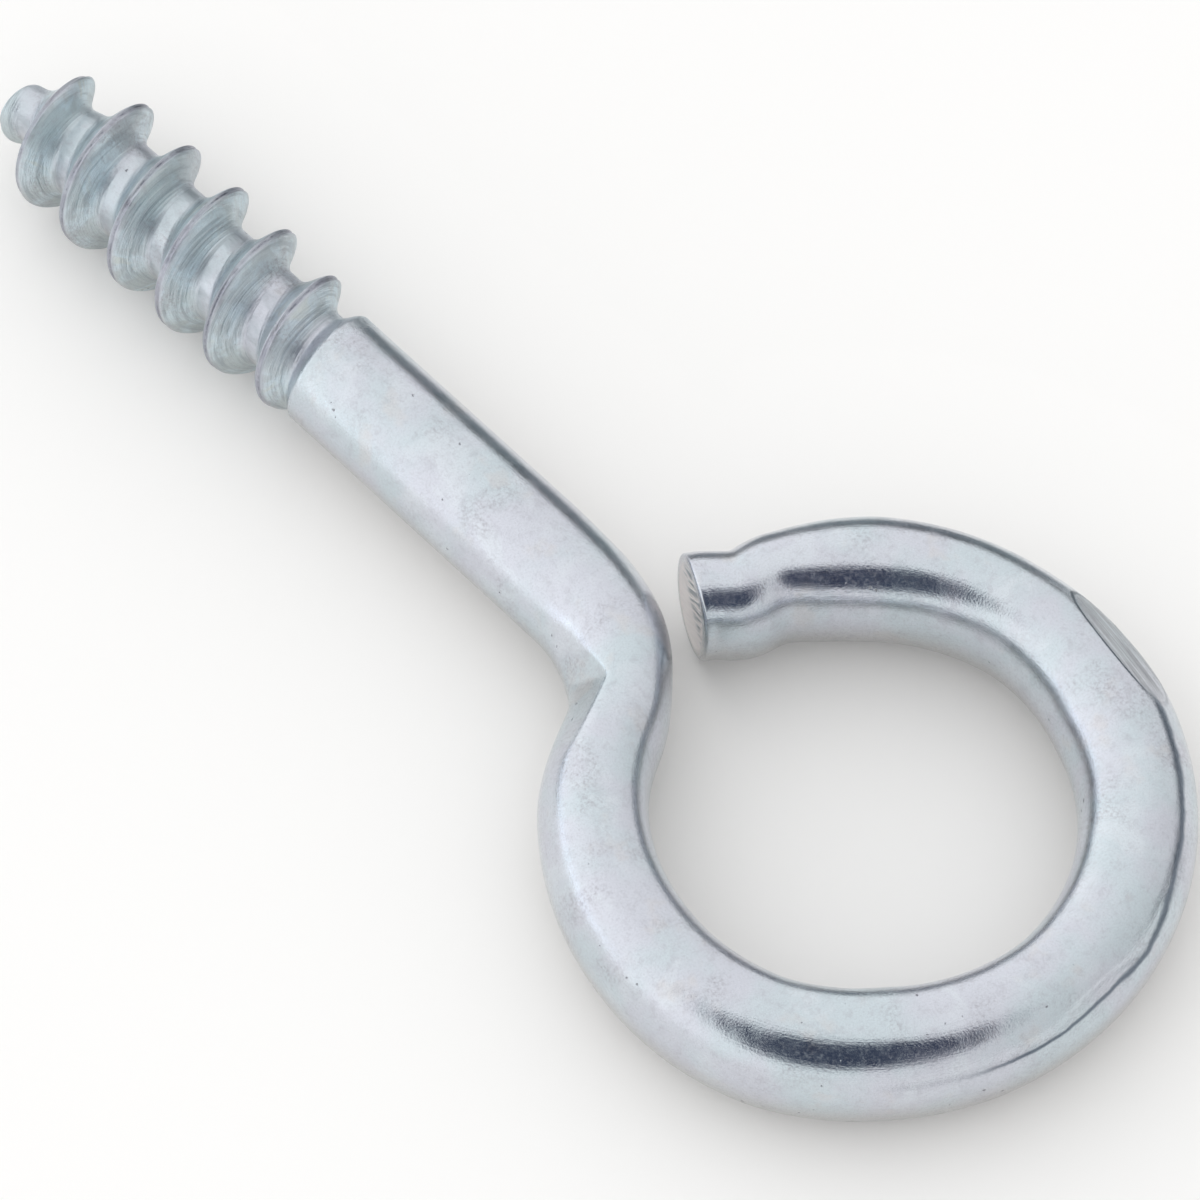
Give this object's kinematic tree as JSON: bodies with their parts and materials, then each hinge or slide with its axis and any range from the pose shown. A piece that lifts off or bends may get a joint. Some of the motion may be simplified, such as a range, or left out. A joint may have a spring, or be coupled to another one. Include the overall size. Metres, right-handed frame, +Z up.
{
  "type": "screw eye",
  "caption": "Zinc-plated steel screw eye bent from one wire, with a coarse wood thread, a plain shank, an offset neck and a nearly closed round eye.",
  "frame": {"origin": "centre of the bottom of the bounding box, with the part lying flat", "axes": "+X along the shank from the thread's tip to the eye, +Z up along the axis of the eye, +Y to the side of the cut end"},
  "size_m": [0.0494, 0.021, 0.0051],
  "materials": {
    "zinc_plated_steel": "bright zinc plate with a fine grain, small dark pits and faint drawing lines"
  },
  "bodies": {
    "root": {"screw_eye": "zinc_plated_steel"}
  },
  "joints": []
}
